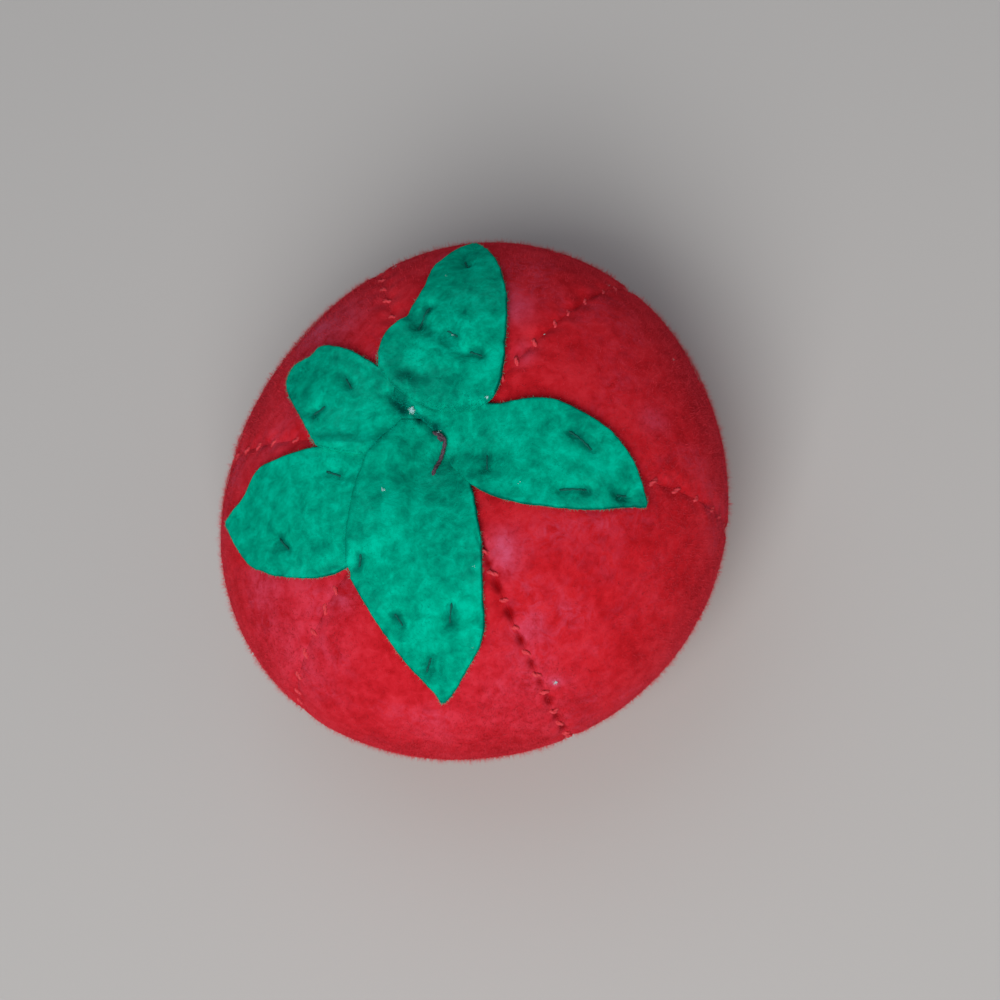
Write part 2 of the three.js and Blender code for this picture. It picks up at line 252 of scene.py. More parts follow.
# %% Felt node group
def felt_group():
    group = bpy.data.node_groups.new("felt_fibres", "ShaderNodeTree")
    face = group.interface
    face.new_socket("Vector", in_out="INPUT", socket_type="NodeSocketVector")
    for name in ("Height", "Strands", "Patches", "Lint"):
        face.new_socket(name, in_out="OUTPUT", socket_type="NodeSocketFloat")
    start, end = add_node(group, "NodeGroupInput"), add_node(group, "NodeGroupOutput")
    vector = start.outputs["Vector"]

    def strands(scale, shift, thinness):
        field = noise_node(group, vector, scale, 1.5, 0.5, 2.2, shift)
        away = math_node(group, "ABSOLUTE", math_node(group, "SUBTRACT", field, 0.5))
        thin = math_node(group, "MULTIPLY", away, thinness)
        return math_node(group, "SUBTRACT", 1.0, thin, clamp=True)

    coarse = strands(330, 0.013, 11)
    middle = strands(560, 0.031, 10)
    fine = strands(1000, 0.057, 8)
    both = math_node(group, "MAXIMUM", coarse, middle)
    web = math_node(group, "MAXIMUM", both, math_node(group, "MULTIPLY", fine, 0.7))
    nap = noise_node(group, vector, 1900, 3, 0.6, 0.6, 0.021)
    lumps = noise_node(group, vector, 620, 3, 0.6, 0.8, 0.043)
    height = math_node(group, "ADD", math_node(group, "MULTIPLY", web, 0.25),
                       math_node(group, "MULTIPLY", nap, 0.4))
    height = math_node(group, "ADD", height, lumps)
    broad = noise_node(group, vector, 150, 3, 0.55, 0.4, 0.009)
    close = noise_node(group, vector, 560, 4, 0.68, 0.3, 0.019)
    patches = math_node(group, "ADD", math_node(group, "MULTIPLY", broad, 0.42),
                        math_node(group, "MULTIPLY", close, 0.58))
    cling = ramp(group, noise_node(group, vector, 85, 3, 0.6, 0.3, 0.077), 0.5, 0.75)
    lint = math_node(group, "MULTIPLY", cling,
                     ramp(group, noise_node(group, vector, 520, 4, 0.7, 1.6, 0.065), 0.4, 0.75))
    for name, value in (("Height", height), ("Strands", web), ("Patches", patches),
                        ("Lint", lint)):
        group.links.new(value, end.inputs[name])
    return group


FELT_GROUP = felt_group()


# %% [markdown]
# ## The two felts
# The material itself turns the masks into colour and bump. Fuzzy cloth glows a little where it
# is seen edge on, which is what sheen is for, and it has no gloss.

# %% Felt materials
def colour_inputs(node):
    """The colour sockets of a Mix node, which has one set for each kind of data."""
    return [s for s in node.inputs if s.type == "RGBA"]


def blended(tree, amount, first, second):
    node = add_node(tree, "ShaderNodeMix", data_type="RGBA")
    tree.links.new(amount, node.inputs[0])
    for socket, value in zip(colour_inputs(node), (first, second)):
        if isinstance(value, tuple):
            socket.default_value = (*value, 1)
        else:
            tree.links.new(value, socket)
    return [s for s in node.outputs if s.type == "RGBA"][0]


def felt_material(name, colours, lint_share, sheen, sheen_tint, bump):
    """Colours run from the darkest, used for painted shade and darker pressed felt, through deep,
    plain and bright to lint.
    """
    pressed, deep, plain, bright, lint_colour = colours
    material = bpy.data.materials.new(name)
    material.use_nodes = True
    tree = material.node_tree
    shader = tree.nodes["Principled BSDF"]
    place = add_node(tree, "ShaderNodeTexCoord")
    felt = add_node(tree, "ShaderNodeGroup", node_tree=FELT_GROUP)
    tree.links.new(place.outputs["Object"], felt.inputs["Vector"])
    patches = felt.outputs["Patches"]
    colour = blended(tree, ramp(tree, patches, 0.38, 0.5), deep, plain)
    colour = blended(tree, ramp(tree, patches, 0.5, 0.62), colour, bright)
    strands = math_node(tree, "MULTIPLY", felt.outputs["Strands"], 0.08)
    colour = blended(tree, strands, colour, bright)
    lint = math_node(tree, "MULTIPLY", felt.outputs["Lint"], lint_share)
    colour = blended(tree, lint, colour, lint_colour)
    # Lint bloom from small patches, and painted sheen from broad ones, mixed towards the lint
    # colour.
    lint_and_sheen_node = add_node(tree, "ShaderNodeAttribute", attribute_name="bloom_and_sheen")
    lint_and_sheen_share = math_node(tree, "MULTIPLY", lint_and_sheen_node.outputs["Fac"], ramp(tree, patches, 0.35, 0.62))
    colour = blended(tree, lint_and_sheen_share, colour, lint_colour)
    # The 'pressed' attribute mixes towards the darkest colour: painted shade in open seams, gaps,
    # creases and at cut edges, and darker spots round stitches.
    press_and_shade_node = add_node(tree, "ShaderNodeAttribute", attribute_name="pressed")
    broken = math_node(tree, "ADD", press_and_shade_node.outputs["Fac"],
                       math_node(tree, "SUBTRACT", 0.45, patches))
    colour = blended(tree, ramp(tree, broken, 0.1, 0.75), colour, pressed)
    tree.links.new(colour, shader.inputs["Base Color"])
    relief = add_node(tree, "ShaderNodeBump")
    relief.inputs["Strength"].default_value = bump
    relief.inputs["Distance"].default_value = 0.3 * MM
    tree.links.new(felt.outputs["Height"], relief.inputs["Height"])
    tree.links.new(relief.outputs[0], shader.inputs["Normal"])
    shader.inputs["Roughness"].default_value = 1.0
    shader.inputs["Specular IOR Level"].default_value = 0.0
    shader.inputs["Sheen Weight"].default_value = sheen
    shader.inputs["Sheen Roughness"].default_value = 0.5
    shader.inputs["Sheen Tint"].default_value = (*sheen_tint, 1)
    return material


# Each felt's first colour is the darkest, used for painted shade and darker spots.
RED = felt_material("red_felt", ((0.31, 0.003, 0.006), (0.42, 0.007, 0.012),
                                 (0.54, 0.012, 0.02), (0.62, 0.022, 0.034),
                                 (0.6, 0.12, 0.24)), 0.4, 0.06, (1.0, 0.4, 0.6), 0.22)
GREEN = felt_material("green_felt", ((0.0, 0.075, 0.056), (0.0, 0.2, 0.128),
                                     (0.0, 0.34, 0.212), (0.0, 0.5, 0.325),
                                     (0.05, 0.55, 0.45)), 0.2, 0.03, (0.0, 1.0, 0.7), 0.28)
print("felts:", RED.name, GREEN.name)


# %% [markdown]
# ## Thread and loose fibre
# Thread, stuffing and loose fibre are all bundles of very fine hairs. One small node group gives
# the streaks, and each material has its own two colours.

# %% Thread materials
def fibres_group():
    group = bpy.data.node_groups.new("thread_fibres", "ShaderNodeTree")
    group.interface.new_socket("Vector", in_out="INPUT", socket_type="NodeSocketVector")
    for name in ("Height", "Paler"):
        group.interface.new_socket(name, in_out="OUTPUT", socket_type="NodeSocketFloat")
    start, end = add_node(group, "NodeGroupInput"), add_node(group, "NodeGroupOutput")
    hairs = noise_node(group, start.outputs["Vector"], 5200, 3, 0.6, 1.0)
    group.links.new(hairs, end.inputs["Height"])
    group.links.new(ramp(group, hairs, 0.35, 0.7), end.inputs["Paler"])
    return group


FIBRES_GROUP = fibres_group()


def thread_material(name, colour, paler, relief_depth=0.05):
    material = bpy.data.materials.new(name)
    material.use_nodes = True
    tree = material.node_tree
    shader = tree.nodes["Principled BSDF"]
    place = add_node(tree, "ShaderNodeTexCoord")
    fibres = add_node(tree, "ShaderNodeGroup", node_tree=FIBRES_GROUP)
    tree.links.new(place.outputs["Object"], fibres.inputs["Vector"])
    tint = blended(tree, fibres.outputs["Paler"], colour, paler)
    tree.links.new(tint, shader.inputs["Base Color"])
    relief = add_node(tree, "ShaderNodeBump")
    relief.inputs["Strength"].default_value = 0.4
    relief.inputs["Distance"].default_value = relief_depth * MM
    tree.links.new(fibres.outputs["Height"], relief.inputs["Height"])
    tree.links.new(relief.outputs[0], shader.inputs["Normal"])
    shader.inputs["Roughness"].default_value = 0.8
    shader.inputs["Specular IOR Level"].default_value = 0.1 if relief_depth else 0.0
    return material


RED_THREAD = thread_material("red_thread", (0.61, 0.025, 0.04), (0.72, 0.09, 0.11))
GREEN_THREAD = thread_material("green_thread", (0.002, 0.085, 0.065), (0.01, 0.15, 0.115))
BROWN_THREAD = thread_material("brown_thread", (0.04, 0.028, 0.04), (0.16, 0.1, 0.13))
RED_NAP = thread_material("red_nap", (0.52, 0.014, 0.024), (0.68, 0.06, 0.09), relief_depth=0)
GREEN_NAP = thread_material("green_nap", (0.0, 0.3, 0.2), (0.0, 0.46, 0.33), relief_depth=0)
LINT = thread_material("lint", (0.38, 0.68, 0.7), (0.62, 0.88, 0.9), relief_depth=0)
FIBREFILL = thread_material("fibrefill", (0.78, 0.75, 0.68), (0.92, 0.9, 0.86))

# %% [markdown]
# ## Stuffing the skin
# Before the stuffing goes in, the sewn skin hangs slack. Packing it pushes each gore outwards
# between its seams, which the stitching holds back. That is a job for the cloth simulation: a
# slack skin, a little inside the finished outline, held at its seams and blown up from inside.
# Cloth behaves best at the size of a cushion, so the skin is simulated ten times as large. What
# is kept is how far each point was pushed out, as a table by row and column.

# %% Simulate the stuffed skin
SKIN_COLUMNS, SKIN_ROWS = 96, 56
SKIN_SCALE = 10 * MM
FULL_SWELL = 0.45                    # mm, how far the fullest part of a gore is pushed out
PLUMP = 0.7                          # mm, how far the soft sides bulge past the working model
PER_GORE = SKIN_COLUMNS // GORES


def skin_sheet():
    bm = flat_sheet(SKIN_COLUMNS, SKIN_ROWS)
    flat = points_of(bm)
    down = 1.0 + flat[:, 1] * (LENGTH - 2.0)
    azimuth = FIRST_SEAM + 2 * math.pi * flat[:, 0]
    lay(bm, body_point(down, azimuth, FULL_SWELL) * SKIN_SCALE)
    bm.verts.layers.float.new("column")
    bm.verts.layers.float.new("row")
    column, row = bm.verts.layers.float["column"], bm.verts.layers.float["row"]
    for vert, (x, y, _) in zip(bm.verts, flat):
        vert[column], vert[row] = x * SKIN_COLUMNS, y * SKIN_ROWS
    bmesh.ops.remove_doubles(bm, verts=bm.verts, dist=1e-5)
    bmesh.ops.recalc_face_normals(bm, faces=bm.faces)
    return bm


def stuffed_skin():
    """How far out stuffing pushes each point of the skin, from 0 at a seam to 1 at the fullest."""
    bm = skin_sheet()
    column, row = bm.verts.layers.float["column"], bm.verts.layers.float["row"]
    columns = np.array([round(v[column]) % SKIN_COLUMNS for v in bm.verts])
    rows = np.array([round(v[row]) for v in bm.verts])
    before, normals = points_of(bm), np.array([v.normal for v in bm.verts])
    mesh = bpy.data.meshes.new("skin")
    bm.to_mesh(mesh)
    bm.free()
    skin = bpy.data.objects.new("skin", mesh)
    bpy.context.collection.objects.link(skin)
    held = (columns % PER_GORE == 0) | (rows < 2) | (rows > SKIN_ROWS - 2)
    seams = skin.vertex_groups.new(name="seams")
    seams.add([int(i) for i in np.nonzero(held)[0]], 1.0, "REPLACE")
    cloth = skin.modifiers.new("Cloth", "CLOTH")
    cloth.settings.quality = 6
    cloth.settings.mass = 0.15
    cloth.settings.tension_stiffness = 12
    cloth.settings.compression_stiffness = 12
    cloth.settings.bending_stiffness = 0.4
    cloth.settings.use_pressure = True
    cloth.settings.uniform_pressure_force = 12
    cloth.settings.vertex_group_mass = "seams"
    cloth.settings.effector_weights.gravity = 0
    scene = bpy.context.scene
    for step in range(1, 21):
        scene.frame_set(step)
    seen = skin.evaluated_get(bpy.context.evaluated_depsgraph_get())
    after = np.array([v.co for v in seen.data.vertices])
    scene.frame_set(1)
    bpy.data.objects.remove(skin)
    pushed = ((after - before) * normals).sum(axis=1)
    table = np.zeros((SKIN_ROWS + 1, SKIN_COLUMNS))
    table[rows, columns] = pushed
    return table


SWELL = stuffed_skin()
print("pushed out, mm: fullest", round(float(SWELL.max() / SKIN_SCALE), 2),
      "middle", round(float(np.median(SWELL) / SKIN_SCALE), 2))
SWELL = np.clip(SWELL / np.percentile(SWELL, 96), 0, 1.15)


def swell_at(down, azimuth):
    """The simulated table read between its points."""
    row = np.clip((down - 1.0) / (LENGTH - 2.0), 0, 1) * SKIN_ROWS
    column = ((azimuth - FIRST_SEAM) / (2 * math.pi) % 1.0) * SKIN_COLUMNS
    r0, c0 = np.floor(row).astype(int), np.floor(column).astype(int)
    r1, c1 = np.minimum(r0 + 1, SKIN_ROWS), (c0 + 1) % SKIN_COLUMNS
    fr, fc = row - r0, column - c0
    c0 = c0 % SKIN_COLUMNS
    top = SWELL[r0, c0] * (1 - fc) + SWELL[r0, c1] * fc
    low = SWELL[r1, c0] * (1 - fc) + SWELL[r1, c1] * fc
    return top * (1 - fr) + low * fr


# %% [markdown]
# ## The leaves' patterns
# The five leaves were cut freehand, so no two are alike. Each pattern is given as a few rows:
# how far along the leaf from the middle of the crown, then its left and right edges. `aim` is
# the way it points. The stitches that hold it are pairs of points on the leaf, where the thread
# comes up and where it goes down. The list runs from the lowest leaf to the one on top.

# %% Leaf patterns
LEAVES = {
    "left": dict(
        aim=162.5, size=(18.0, 28.5),
        edges=[(6, 6, -1.6), (9, 9.4, -2.4), (13, 12, -3.4), (17, 12.9, -4.4),
               (21.4, 11.9, -4.8), (25.3, 10.3, -4.9), (27.2, 9.1, -4.1), (29.2, 7.7, -1.9),
               (31.3, 4.6, -1.2), (32.9, 1.6, -0.6), (33.7, 0.3, -0.3)],
        stitches=[((23.5, 6.2), (22.4, 7.8)), ((15.6, -0.4), (14, 0.6))]),
    "upper_left": dict(
        aim=123.5, size=(14.5, 23.5),
        edges=[(4.5, 3.6, -2.5), (8, 5.2, -4.6), (12, 6.6, -6.1), (16, 7, -6.8),
               (20, 4.8, -7.2), (24.4, 2.3, -6.8), (25.6, 1.6, -4.9), (27.3, 0.1, -3.6),
               (27.8, -1.3, -2.7)],
        stitches=[((18.6, 1.7), (19.4, 3)), ((17.6, -3.2), (16.4, -2.4))]),
    "bottom": dict(
        aim=240.0, size=(18.0, 38.0),
        edges=[(-4.5, -1.6, -6.2), (-1, 1.5, -9), (3, 3.4, -10.7), (7, 4.6, -11.2),
               (12.6, 5.8, -11.5), (16.3, 6, -11.1), (19.6, 6.1, -9.4), (23.4, 6.2, -7.2),
               (26.2, 5.5, -5.5), (29.3, 3.6, -3.3), (32, 1.7, -1.1), (33.5, 0.3, -0.3)],
        stitches=[((21, 2), (23.2, 1.7)), ((29.2, -1.8), (27.8, -1.2)),
                  ((23.1, -4.6), (21.8, -5.4)), ((15.4, -9.8), (14.2, -9.5))]),
    "right": dict(
        aim=314.5, size=(15.0, 37.5),
        edges=[(-9, 6.8, 5), (-5.5, 7.4, 3.8), (-2, 7.6, 2.2), (1.1, 7.4, -1.3),
               (5.3, 7.6, -4), (9, 9.1, -4.9), (12.4, 9.9, -5), (16, 9.5, -4.5),
               (20.1, 8.5, -3.6), (23, 7, -2.5), (25.8, 4.5, -1.1), (28.3, 0.5, -0.1)],
        stitches=[((16.1, 6.3), (19.4, 4.8)), ((25.4, 0.4), (24.4, 0.1)),
                  ((20.2, -0.8), (17.2, -1.8)), ((6.6, -1.2), (6, 0.6))]),
    "top": dict(
        aim=58.0, size=(17.5, 28.5),
        edges=[(5.2, 0.5, -3.5), (6.2, 3.4, -5.6), (8.2, 7, -6.8), (11.5, 9.7, -7.2),
               (14.3, 9.8, -7), (16.7, 9, -6.9), (19.4, 6.5, -6.6), (22.6, 5, -6),
               (27.2, 4.4, -4.4), (30.2, 2.8, -2.8), (32, 1.3, -1.4), (33, 0.3, -0.3)],
        stitches=[((28.6, 0.4), (27.4, -0.2)), ((17, 4.8), (19.6, 3.6)),
                  ((16, 0.6), (15.2, -0.6)), ((12.4, -4), (13, -2.6))]),
}


def crown_xy(leaf, along, across):
    """A point of a leaf's pattern on the crown laid out flat."""
    aim = math.radians(leaf["aim"])
    x = along * math.cos(aim) - across * math.sin(aim)
    y = along * math.sin(aim) + across * math.cos(aim)
    return x, y


def curve_through(values, where):
    """A smooth curve through evenly numbered values."""
    values = np.asarray(values, float)
    padded = np.concatenate([[2 * values[0] - values[1]], values, [2 * values[-1] - values[-2]]])
    where = np.clip(where, 0, len(values) - 1 - 1e-9)
    i = np.floor(where).astype(int)
    t = where - i
    a, b, c, d = padded[i], padded[i + 1], padded[i + 2], padded[i + 3]
    return b + 0.5 * t * (c - a + t * (2 * a - 5 * b + 4 * c - d + t * (3 * (b - c) + d - a)))


def leaf_place(leaf, u, v):
    """Pattern point at share u along the leaf and v across it."""
    along, left, right = (np.array(column) for column in zip(*leaf["edges"]))
    where = u * (len(along) - 1)
    a, b = curve_through(left, where), curve_through(right, where)
    return curve_through(along, where), a + (b - a) * v


# %% [markdown]
# ## Stitches press into felt
# Wherever a thread goes through, it pulls a small dimple into the felt. The same dimples go into
# the leaf and into the body under it, so that both follow the thread. The tuft thread makes the
# deepest one, at the middle.

# %% Dimples on the crown
DIMPLE_DEPTH, DIMPLE_RADIUS = 0.5, 1.0
CROWN_REACH = 45.0                   # down the felt, past the tip of every leaf
dimples = [(0.0, 0.0, 0.9, 1.8)]
for leaf in LEAVES.values():
    for pair in leaf["stitches"]:
        for along, across in pair:
            x, y = crown_xy(leaf, along, across)
            dimples.append((x, y, DIMPLE_DEPTH, DIMPLE_RADIUS))
print("dimples:", len(dimples))


def dimple_depth(x, y):
    total = np.zeros_like(x)
    for cx, cy, depth, radius in dimples:
        away = ((x - cx) ** 2 + (y - cy) ** 2) / radius ** 2
        total += depth * np.exp(-away)
    return total


# %% [markdown]
# ## The seams
# Two gores meet edge to edge, their edges turned in. Hand stitches every three or four
# millimetres bridge the join: at a stitch the felt is pinched shut, between stitches it opens a
# little and shows as a dark dash, whose shade is painted into the felt's colour. Nothing pulls
# hard, so the body stays almost smooth across a seam. `felt_depth` adds it all up for any point
# of the red felt.

# %% Seam stitches and felt_depth
STITCH_PITCH = 3.5
SEAM_VALLEY, SEAM_VALLEY_WIDTH = 0.2, 1.4
SEAM_SLIT, SEAM_SLIT_WIDTH = 0.6, 0.5
PUCKER, PUCKER_ASIDE, PUCKER_WIDTH = 0.16, 1.0, 0.9
SEAM_FADE_RADIUS = 8.0               # seams shallow out this near the axis
SHADE_WIDTH = 0.55                   # to each side, the painted shade of the open join between stitches
PLUMP_FROM, PLUMP_OVER = 14.0, 24.0  # down the felt, where the sides start to bulge and how soon
DIMPLE_SHARE = 0.8                   # of a leaf's dimple, that the red felt under it follows

# The seam that faces the front has opened most. The others stay nearly shut.
OPENNESS = [0.4, 0.3, 0.3, 0.35, 1.0, 0.3]


def seam_stitches():
    downs = np.arange(5.0, LENGTH - 5.0, STITCH_PITCH)
    return downs + rng.uniform(-0.45, 0.45, len(downs))


STITCHES = [seam_stitches() for _ in range(GORES)]


def between_stitches(seam, down):
    """0 at a stitch, 1 half way to the next."""
    marks = STITCHES[seam]
    nearest = np.abs(np.asarray(down)[..., None] - marks).min(axis=-1)
    return np.clip(2 * nearest / STITCH_PITCH, 0, 1)


def unevenness(points):
    """Slow hand-made lumps and a finer nap, in mm."""
    lumps = [0.55 * noise.noise(Vector(p) * 0.075) + 0.22 * noise.noise(Vector(p) * 0.21)
             + 0.05 * noise.noise(Vector(p) * 1.1) for p in points]
    return np.array(lumps)


def felt_depth(down, azimuth):
    """Depth of the outside of the red felt under the outline, in mm."""
    down, azimuth = np.broadcast_arrays(np.asarray(down, float), np.asarray(azimuth, float))
    radius = np.interp(down, DOWN, OUTLINE_R)
    depth = FULL_SWELL * (1 - swell_at(down, azimuth))
    depth = depth - PLUMP * np.clip((down - PLUMP_FROM) / PLUMP_OVER, 0, 1)
    part = (azimuth - FIRST_SEAM) / GORE_TURN
    seam = np.round(part).astype(int)
    beside = np.abs(part - seam) * GORE_TURN * radius
    room = np.clip(radius / SEAM_FADE_RADIUS, 0, 1)
    for k in range(GORES):
        here = (seam % GORES) == k
        if not here.any():
            continue
        s, open_share = beside[here], between_stitches(k, down[here])
        valley = SEAM_VALLEY * np.exp(-(s / SEAM_VALLEY_WIDTH) ** 2)
        slit = SEAM_SLIT * OPENNESS[k] * open_share * np.exp(-(s / SEAM_SLIT_WIDTH) ** 2)
        pinch = PUCKER * (1 - 2 * open_share)
        pinch = pinch * np.exp(-((s - PUCKER_ASIDE) / PUCKER_WIDTH) ** 2)
        depth[here] += (valley + slit + pinch) * room[here]
    crown = down < CROWN_REACH
    x, y = down * np.cos(azimuth), down * np.sin(azimuth)
    depth[crown] += DIMPLE_SHARE * dimple_depth(x[crown], y[crown])
    return depth


def seam_shade(down, azimuth):
    """Painted shade in the open join: most half way between two stitches, at the join."""
    part = (azimuth - FIRST_SEAM) / GORE_TURN
    seam = np.round(part).astype(int)
    beside = np.abs(part - seam) * GORE_TURN * np.interp(down, DOWN, OUTLINE_R)
    shade = np.zeros_like(beside)
    for k in range(GORES):
        here = (seam % GORES) == k
        shade[here] = OPENNESS[k] * between_stitches(k, down[here])
    return shade * np.exp(-(beside / SHADE_WIDTH) ** 2)


# Lint bloom on the red felt, and painted sheen: crown x and y, radius, strength. The first
# twelve are small patches of lint bloom. The last five are broad painted sheen, the tint of the
# cool light on the lit side, and were fitted to the felt's colour at five places.
BLOOM_AND_SHEEN = [(0.6, -16.2, 2.2, 0.5), (-0.3, -18.6, 1.6, 0.35), (-20.6, -10.0, 2.0, 0.45),
         (-1.5, -27.5, 1.8, 0.4), (17.0, 13.0, 2.4, 0.4), (27.8, -9.5, 2.0, 0.35),
         (-2.4, -35.2, 0.8, 0.6), (15.2, 6.3, 1.5, 0.35), (-14.0, 20.0, 2.5, 0.35),
         (-30.0, -2.0, 3.0, 0.3), (14.0, 27.0, 2.5, 0.3), (-9.0, 31.0, 3.0, 0.3),
         (-22.4, -31.9, 9.0, 0.06), (-29.7, -10.8, 9.0, 0.18), (-21.4, 16.9, 8.0, 0.06),
         (-6.1, 28.4, 6.0, 0.36), (-8.3, -34.8, 8.0, 0.13)]


# Lint bloom from the small patches, and painted sheen of the cool light from the broad ones.
def bloom_and_sheen(down, azimuth):
    x, y = down * np.cos(azimuth), down * np.sin(azimuth)
    total = np.zeros_like(x)
    for cx, cy, radius, strength in BLOOM_AND_SHEEN:
        total += strength * np.exp(-((x - cx) ** 2 + (y - cy) ** 2) / radius ** 2)
    return total


# %% [markdown]
# ## The gores
# Each gore starts as a flat sheet: one way is down the body, the other across the gore. Its
# columns crowd towards the seams, where the detail is. It is laid on the body, its two long
# edges are turned in, and the sheet is given the felt's thickness.

# %% Make the gores
GORE_COLUMNS, GORE_ROWS = ((56, 230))
CROWDING = 0.8
TURN_IN = 2.0
LUMP_SHARE, LUMP_FADE = 0.5, 10.0    # lumps fade this near the middle of crown and base
NECK = 1.2                           # the gores stop this far from the middle, down the felt


def crowd(share, amount):
    return share - amount * np.sin(2 * math.pi * share) / (2 * math.pi)


def resting(points):
    """Keeps the felt above the table."""
    points[:, 2] = np.maximum(points[:, 2], 0.02)
    return points


def gore_piece(k):
    bm = flat_sheet(GORE_COLUMNS, GORE_ROWS)
    flat = points_of(bm)
    down = NECK + flat[:, 1] * (LENGTH - 2 * NECK)
    azimuth = FIRST_SEAM + (k + crowd(flat[:, 0], CROWDING)) * GORE_TURN
    depth = felt_depth(down, azimuth)
    plain = body_point(down, azimuth)
    fade = np.clip(np.minimum(down, LENGTH - down) / LUMP_FADE, 0, 1)
    depth -= LUMP_SHARE * unevenness(plain) * fade
    outside = resting(body_point(down, azimuth, depth))
    inward = body_normal(down, azimuth)
    edges = [e for e in bm.edges if e.is_boundary and all(
        v.co.x < 1e-6 or v.co.x > 1 - 1e-6 for v in e.verts)]
    lay(bm, outside)
    # Painted shade in the open seams, stored as the 'pressed' attribute.
    mark(bm, "pressed", seam_shade(down, azimuth))
    # Lint bloom and painted sheen, stored for the felt's material.
    mark(bm, "bloom_and_sheen", bloom_and_sheen(down, azimuth))
    turned_in = bmesh.ops.extrude_edge_only(bm, edges=edges)["geom"]
    fresh = [v for v in turned_in if isinstance(v, bmesh.types.BMVert)]
    middle = FIRST_SEAM + (k + 0.5) * GORE_TURN
    aside = Vector((math.cos(middle), math.sin(middle), 0))
    for vert in fresh:
        at = Vector(vert.co)
        out = Vector((at.x, at.y, 0)).normalized()
        upward = Vector((0, 0, at.z - BELLY_HEIGHT)).normalized()
        lean = min(1.0, Vector((at.x, at.y)).length / BODY_RADIUS)
        vert.co -= (out * lean + upward * (1 - lean)) * TURN_IN * lean - aside * 0.05
    bmesh.ops.recalc_face_normals(bm, faces=bm.faces)
    bmesh.ops.solidify(bm, geom=bm.faces[:], thickness=RED_FELT)
    piece = finish_piece(bm, f"red_gore_{k + 1}", RED, [f"gore_{k + 1}"])
    return piece


gores = [gore_piece(k) for k in range(GORES)]
print("gores:", [len(g.data.polygons) for g in gores], "faces")

# %% [markdown]
# ## Draping the leaves
# A leaf rests on the red felt, or on the leaves that are already there, and felt is too stiff to
# follow a step sharply: it bridges it in a soft slope. The crown is laid out flat as a map of
# heights. For each leaf in turn, from the lowest up, the map is spread and softened, which gives
# the height that the leaf comes to rest at, and then the leaf's own thickness is added to the
# map under it.

# %% The height map of the crown
MAP_STEP, MAP_HALF = 0.3, 39.0
line = np.arange(-MAP_HALF, MAP_HALF + MAP_STEP / 2, MAP_STEP)
map_x, map_y = np.meshgrid(line, line, indexing="ij")
stack = -felt_depth(np.hypot(map_x, map_y), np.arctan2(map_y, map_x))
# The dimples are taken out again here. Each leaf gets its own later.
stack += DIMPLE_SHARE * dimple_depth(map_x, map_y)
bare = stack.copy()


def spread(heights, reach):
    """The highest value within reach."""
    steps = int(round(reach / MAP_STEP))
    out = heights.copy()
    for i in range(-steps, steps + 1):
        for j in range(-steps, steps + 1):
            if i * i + j * j <= steps * steps:
                out = np.maximum(out, np.roll(heights, (i, j), axis=(0, 1)))
    return out


def soften(heights, reach):
    steps = int(round(3 * reach / MAP_STEP))
    offsets = np.arange(-steps, steps + 1) * MAP_STEP
    weights = np.exp(-0.5 * (offsets / reach) ** 2)
    weights /= weights.sum()
    for axis in (0, 1):
        heights = sum(w * np.roll(heights, int(o), axis=axis)
                      for w, o in zip(weights, np.arange(-steps, steps + 1)))
    return heights


def read_map(heights, x, y):
    i = np.clip((x + MAP_HALF) / MAP_STEP, 0, len(line) - 1.001)
    j = np.clip((y + MAP_HALF) / MAP_STEP, 0, len(line) - 1.001)
    i0, j0 = np.floor(i).astype(int), np.floor(j).astype(int)
    fi, fj = i - i0, j - j0
    low = heights[i0, j0] * (1 - fj) + heights[i0, j0 + 1] * fj
    high = heights[i0 + 1, j0] * (1 - fj) + heights[i0 + 1, j0 + 1] * fj
    return low * (1 - fi) + high * fi


# %% Rest each leaf on what is under it
REST_GAP = 0.06
BRIDGE, BRIDGE_SOFTNESS = 0.9, 0.75  # how far felt bridges a step, and how softly


def leaf_thickness(x, y):
    """The tuft thread pulls the leaves thin where they crowd at the middle."""
    share = np.clip((np.hypot(x, y) - 4) / 9, 0, 1)
    return GREEN_FELT * (0.45 + 0.55 * share * share * (3 - 2 * share))


rests = {}
for name, leaf in LEAVES.items():
    share = np.linspace(0, 1, 500)
    u, v = np.meshgrid(share, share)
    x, y = crown_xy(leaf, *leaf_place(leaf, u, v))
    covered = np.zeros_like(stack, bool)
    covered[np.round((x + MAP_HALF) / MAP_STEP).astype(int),
            np.round((y + MAP_HALF) / MAP_STEP).astype(int)] = True
    under = soften(spread(stack, BRIDGE), BRIDGE_SOFTNESS)
    rests[name] = np.maximum(under, stack) + REST_GAP
    stack = np.where(covered, rests[name] + leaf_thickness(map_x, map_y), stack)
    print(name, "rests up to", round(float(rests[name][covered].max()), 2), "mm over the outline")
COVER = stack - bare > 0.5

# %% [markdown]
# ## Cutting and shaping a leaf
# A leaf is one sheet, a grid between its two cut edges. Scissors leave a slightly wavering line.
# The grid is pulled up into a slab, and the slab thins towards the cut edge, so that the edge is
# blunt with softened corners, as cut felt is. The leaf gets its dimples and, on the top one, a
# soft crease. Its rim stands off the red felt a little, but where it lies on another leaf the rim
# is feathered and sinks into it, as felt that has matted together does.

# %% Leaf surface
LEAF_GRID = ((72, 180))
LEAF_CROWDING = 0.85
FEATHER = 0.9                        # mm, over which an edge that lies on a leaf thins out
EDGE_WAVER = 0.12
EDGE_ROUND, EDGE_BLUNT = 0.3, 0.45
EDGE_REACH = 0.8                     # how far in from the rim the edge stands off or sinks in
EDGE_LIFT, EDGE_SINK = 0.12, 0.12    # off the red felt, and into a leaf below
RIPPLE = 0.13
STITCH_GROOVE, GROOVE_WIDTH = 0.22, 0.7
STITCH_SHADE, STITCH_SHADE_WIDTH = 0.54, 0.85
CREASES = {"top": [((19.6, 7.2), (12.8, -1.5), 0.75, 1.1)]}
